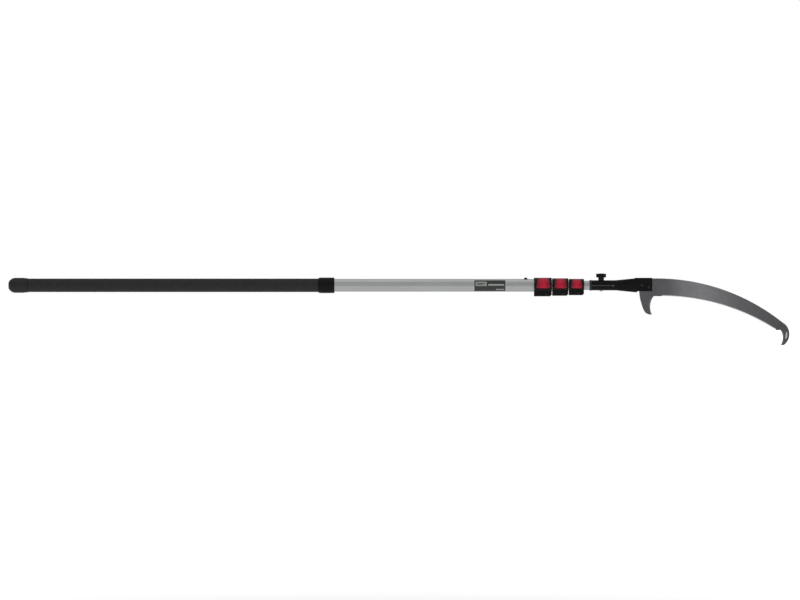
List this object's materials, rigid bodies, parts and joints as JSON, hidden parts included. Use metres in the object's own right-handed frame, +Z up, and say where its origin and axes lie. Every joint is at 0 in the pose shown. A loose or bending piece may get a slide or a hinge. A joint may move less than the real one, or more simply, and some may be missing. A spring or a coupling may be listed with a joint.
{
  "type": "telescoping pole saw",
  "caption": "Telescoping pole saw with oval nested tubes, lever clamps, ribbed rubber grip and a curved toothed blade with a sickle at its heel and a hook at its tip.",
  "frame": {"origin": "middle of the flat end of the butt cap, on the pole's axis", "axes": "+X along the pole from the butt to the blade, +Z up, away from the teeth, -Y the side with the clamp levers"},
  "size_m": [2.4448, 0.0439, 0.2245],
  "materials": {
    "aluminium_tube": "satin anodised",
    "plug_plastic": "matte",
    "rubber_cap": "satin",
    "rubber_grip": "finely ribbed, satin",
    "black_plastic": "satin",
    "label": "printed film, no lettering",
    "spring_steel": "bright",
    "red_plastic": "satin gloss",
    "brass": "plain",
    "zinc_steel": "zinc plated",
    "coated_steel": "black coating",
    "rim_plastic": "satin",
    "blade_steel": "ground steel",
    "black_steel": "black oxide"
  },
  "bodies": {
    "base": {"base_tube": "aluminium_tube", "end_plug": "plug_plastic", "end_cap": "rubber_cap", "grip_sleeve": "rubber_grip", "grip_collar": "black_plastic", "label_plate": "label", "button_bezel": "black_plastic", "button_spring": "spring_steel", "clamp_1_collar": "black_plastic", "clamp_1_pin": "zinc_steel", "clamp_1_screw": "black_steel", "clamp_1_nut": "black_steel", "clamp_1_rivets": "black_steel"},
    "button": {"push_button": "black_plastic"},
    "lever_1": {"clamp_1_lever": "red_plastic"},
    "shoe_1": {"clamp_1_shoe": "brass"},
    "section_2": {"tube_2": "aluminium_tube", "tail_plug_2": "plug_plastic", "snap_spring_2": "spring_steel", "clamp_2_collar": "black_plastic", "clamp_2_pin": "zinc_steel", "clamp_2_screw": "black_steel", "clamp_2_nut": "black_steel", "clamp_2_rivets": "black_steel"},
    "snap_2": {"snap_pin_2": "zinc_steel"},
    "lever_2": {"clamp_2_lever": "red_plastic"},
    "shoe_2": {"clamp_2_shoe": "brass"},
    "section_3": {"tube_3": "aluminium_tube", "tail_plug_3": "plug_plastic", "snap_spring_3": "spring_steel", "clamp_3_collar": "black_plastic", "clamp_3_pin": "zinc_steel", "clamp_3_screw": "black_steel", "clamp_3_nut": "black_steel", "clamp_3_rivets": "black_steel"},
    "snap_3": {"snap_pin_3": "zinc_steel"},
    "lever_3": {"clamp_3_lever": "red_plastic"},
    "shoe_3": {"clamp_3_shoe": "brass"},
    "section_4": {"tube_4": "aluminium_tube", "tail_plug_4": "plug_plastic", "snap_spring_4": "spring_steel", "head_socket": "coated_steel", "socket_rim": "rim_plastic", "knob_nut": "zinc_steel", "knob_washer": "black_plastic", "blade": "blade_steel", "blade_bolts": "black_steel", "blade_nuts": "black_steel"},
    "snap_4": {"snap_pin_4": "zinc_steel"},
    "knob": {"knob": "black_plastic", "knob_bolt": "zinc_steel"}
  },
  "joints": [
    {"name": "extend_2", "type": "slide", "parent": "base", "child": "section_2", "axis": [1, 0, 0], "range_m": [0, 1.29]},
    {"name": "extend_3", "type": "slide", "parent": "section_2", "child": "section_3", "axis": [1, 0, 0], "range_m": [0, 1.29]},
    {"name": "extend_4", "type": "slide", "parent": "section_3", "child": "section_4", "axis": [1, 0, 0], "range_m": [0, 1.29]},
    {"name": "lever_1_open", "type": "hinge", "parent": "base", "child": "lever_1", "pos_m": [1.6725, -0.01953, -0.0067], "axis": [1, 0, 0], "range_deg": [0, 110]},
    {"name": "shoe_1_release", "type": "slide", "parent": "base", "child": "shoe_1", "axis": [0, -1, 0], "range_m": [0, 0.0004]},
    {"name": "lever_2_open", "type": "hinge", "parent": "section_2", "child": "lever_2", "pos_m": [1.727, -0.01762, -0.0067], "axis": [1, 0, 0], "range_deg": [0, 110]},
    {"name": "shoe_2_release", "type": "slide", "parent": "section_2", "child": "shoe_2", "axis": [0, -1, 0], "range_m": [0, 0.0004]},
    {"name": "lever_3_open", "type": "hinge", "parent": "section_3", "child": "lever_3", "pos_m": [1.7775, -0.0157, -0.0067], "axis": [1, 0, 0], "range_deg": [0, 110]},
    {"name": "shoe_3_release", "type": "slide", "parent": "section_3", "child": "shoe_3", "axis": [0, -1, 0], "range_m": [0, 0.0004]},
    {"name": "button_press", "type": "slide", "parent": "base", "child": "button", "axis": [0, 0, -1], "range_m": [0, 0.0015], "stiffness_N_per_m": 1200, "springref_m": -0.001, "deforming": ["button_spring"]},
    {"name": "snap_2_press", "type": "slide", "parent": "section_2", "child": "snap_2", "axis": [0, 0, -1], "range_m": [0, 0.0012], "stiffness_N_per_m": 900, "springref_m": -0.0016, "deforming": ["snap_spring_2"]},
    {"name": "snap_3_press", "type": "slide", "parent": "section_3", "child": "snap_3", "axis": [0, 0, -1], "range_m": [0, 0.0012], "stiffness_N_per_m": 900, "springref_m": -0.0016, "deforming": ["snap_spring_3"]},
    {"name": "snap_4_press", "type": "slide", "parent": "section_4", "child": "snap_4", "axis": [0, 0, -1], "range_m": [0, 0.0012], "stiffness_N_per_m": 900, "springref_m": -0.0016, "deforming": ["snap_spring_4"]},
    {"name": "knob_turn", "type": "hinge", "parent": "section_4", "child": "knob", "pos_m": [1.855, 0, 0.03], "axis": [0, 0, 1], "continuous": true}
  ],
  "couplings": [
    {"joint": "shoe_1_release", "follows": "lever_1_open", "m_per_rad": 0.0002081},
    {"joint": "shoe_2_release", "follows": "lever_2_open", "m_per_rad": 0.0002081},
    {"joint": "shoe_3_release", "follows": "lever_3_open", "m_per_rad": 0.0002081}
  ]
}
